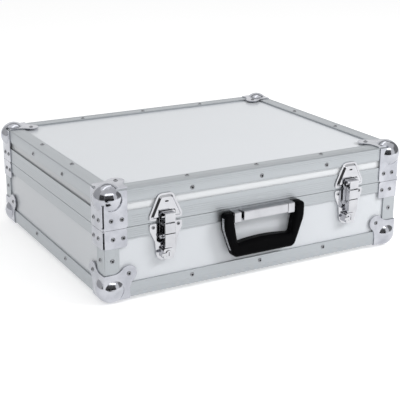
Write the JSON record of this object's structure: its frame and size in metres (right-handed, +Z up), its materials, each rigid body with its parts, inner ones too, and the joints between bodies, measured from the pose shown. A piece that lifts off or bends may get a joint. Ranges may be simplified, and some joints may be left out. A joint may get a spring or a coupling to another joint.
{
  "type": "microphone case",
  "caption": "Small riveted flight case with a hinged lid, key-locking draw latches, a folding front handle, ball corners and a slotted foam insert for microphones.",
  "frame": {"origin": "middle of the bounding box in plan, at the ground that the lower ball corners stand on", "axes": "+X along the front to the right, +Y from the front to the hinges at the back, +Z up"},
  "size_m": [0.4904, 0.4102, 0.1645],
  "materials": {
    "floor_laminate": "pale grey laminate on plywood",
    "wall_laminate": "pale grey laminate on plywood",
    "lid_laminate": "pale grey laminate on plywood",
    "extrusion": "satin anodised, finely ribbed",
    "corner_plating": "nickel plated pressed steel",
    "rivet_metal": "bright",
    "latch_plating": "polished chrome",
    "lock_metal": "polished",
    "bracket_metal": "polished chrome",
    "handle_plastic": "black, soft gloss",
    "strap_steel": "brushed",
    "pin_steel": "plain steel",
    "hinge_plating": "nickel plated steel",
    "foam": "charcoal open-cell foam"
  },
  "bodies": {
    "body": {"floor_panel": "floor_laminate", "front_panel": "wall_laminate", "back_panel": "wall_laminate", "left_panel": "wall_laminate", "right_panel": "wall_laminate", "base_edge_angles": "extrusion", "body_closure_rails": "extrusion", "corner_posts": "extrusion", "foot_corners": "corner_plating", "body_braces": "corner_plating", "body_rivets": "rivet_metal", "latch_bases": "latch_plating", "handle_bracket": "bracket_metal", "body_hinge_leaves": "hinge_plating", "hinge_pins": "pin_steel", "foam_floor": "foam", "foam_rim": "foam", "foam_cross_wall": "foam", "foam_slot_dividers": "foam", "foam_tray_divider": "foam", "left_lever_pin": "pin_steel", "right_lever_pin": "pin_steel"},
    "lid": {"lid_top_panel": "lid_laminate", "lid_front_panel": "wall_laminate", "lid_back_panel": "wall_laminate", "lid_side_panels": "wall_laminate", "lid_edge_angles": "extrusion", "lid_closure_rails": "extrusion", "lid_corners": "corner_plating", "lid_rivets": "rivet_metal", "latch_keepers": "latch_plating", "lid_hinge_leaves": "hinge_plating", "lid_foam": "foam"},
    "handle": {"handle_grip": "handle_plastic", "handle_core": "strap_steel", "handle_pins": "pin_steel"},
    "left_lever": {"left_latch_lever": "latch_plating", "left_bail_pin": "pin_steel"},
    "left_bail": {"left_latch_bail": "latch_plating"},
    "left_lock": {"left_lock_barrel": "lock_metal"},
    "right_lever": {"right_latch_lever": "latch_plating", "right_bail_pin": "pin_steel"},
    "right_bail": {"right_latch_bail": "latch_plating"},
    "right_lock": {"right_lock_barrel": "lock_metal"}
  },
  "joints": [
    {"name": "lid_hinge", "type": "hinge", "parent": "body", "child": "lid", "pos_m": [0, 0.20155, 0.1048], "axis": [-1, 0, 0], "range_deg": [0, 100]},
    {"name": "handle_swing", "type": "hinge", "parent": "body", "child": "handle", "pos_m": [-0.0016, -0.1974, 0.0978], "axis": [-1, 0, 0], "range_deg": [0, 165]},
    {"name": "left_lever_pivot", "type": "hinge", "parent": "body", "child": "left_lever", "pos_m": [-0.1488, -0.19715, 0.1031], "axis": [-1, 0, 0], "range_deg": [0, 105]},
    {"name": "left_bail_pivot", "type": "hinge", "parent": "left_lever", "child": "left_bail", "pos_m": [-0.1488, -0.19345, 0.0858], "axis": [-1, 0, 0], "range_deg": [-105, 0]},
    {"name": "left_lock_turn", "type": "hinge", "parent": "body", "child": "left_lock", "pos_m": [-0.1488, -0.19755, 0.0613], "axis": [0, 1, 0], "range_deg": [0, 90]},
    {"name": "right_lever_pivot", "type": "hinge", "parent": "body", "child": "right_lever", "pos_m": [0.1488, -0.19715, 0.1031], "axis": [-1, 0, 0], "range_deg": [0, 105]},
    {"name": "right_bail_pivot", "type": "hinge", "parent": "right_lever", "child": "right_bail", "pos_m": [0.1488, -0.19345, 0.0858], "axis": [-1, 0, 0], "range_deg": [-105, 0]},
    {"name": "right_lock_turn", "type": "hinge", "parent": "body", "child": "right_lock", "pos_m": [0.1488, -0.19755, 0.0613], "axis": [0, 1, 0], "range_deg": [0, 90]}
  ],
  "couplings": [
    {"joint": "left_bail_pivot", "follows": "left_lever_pivot", "ratio": -1},
    {"joint": "right_bail_pivot", "follows": "right_lever_pivot", "ratio": -1}
  ]
}
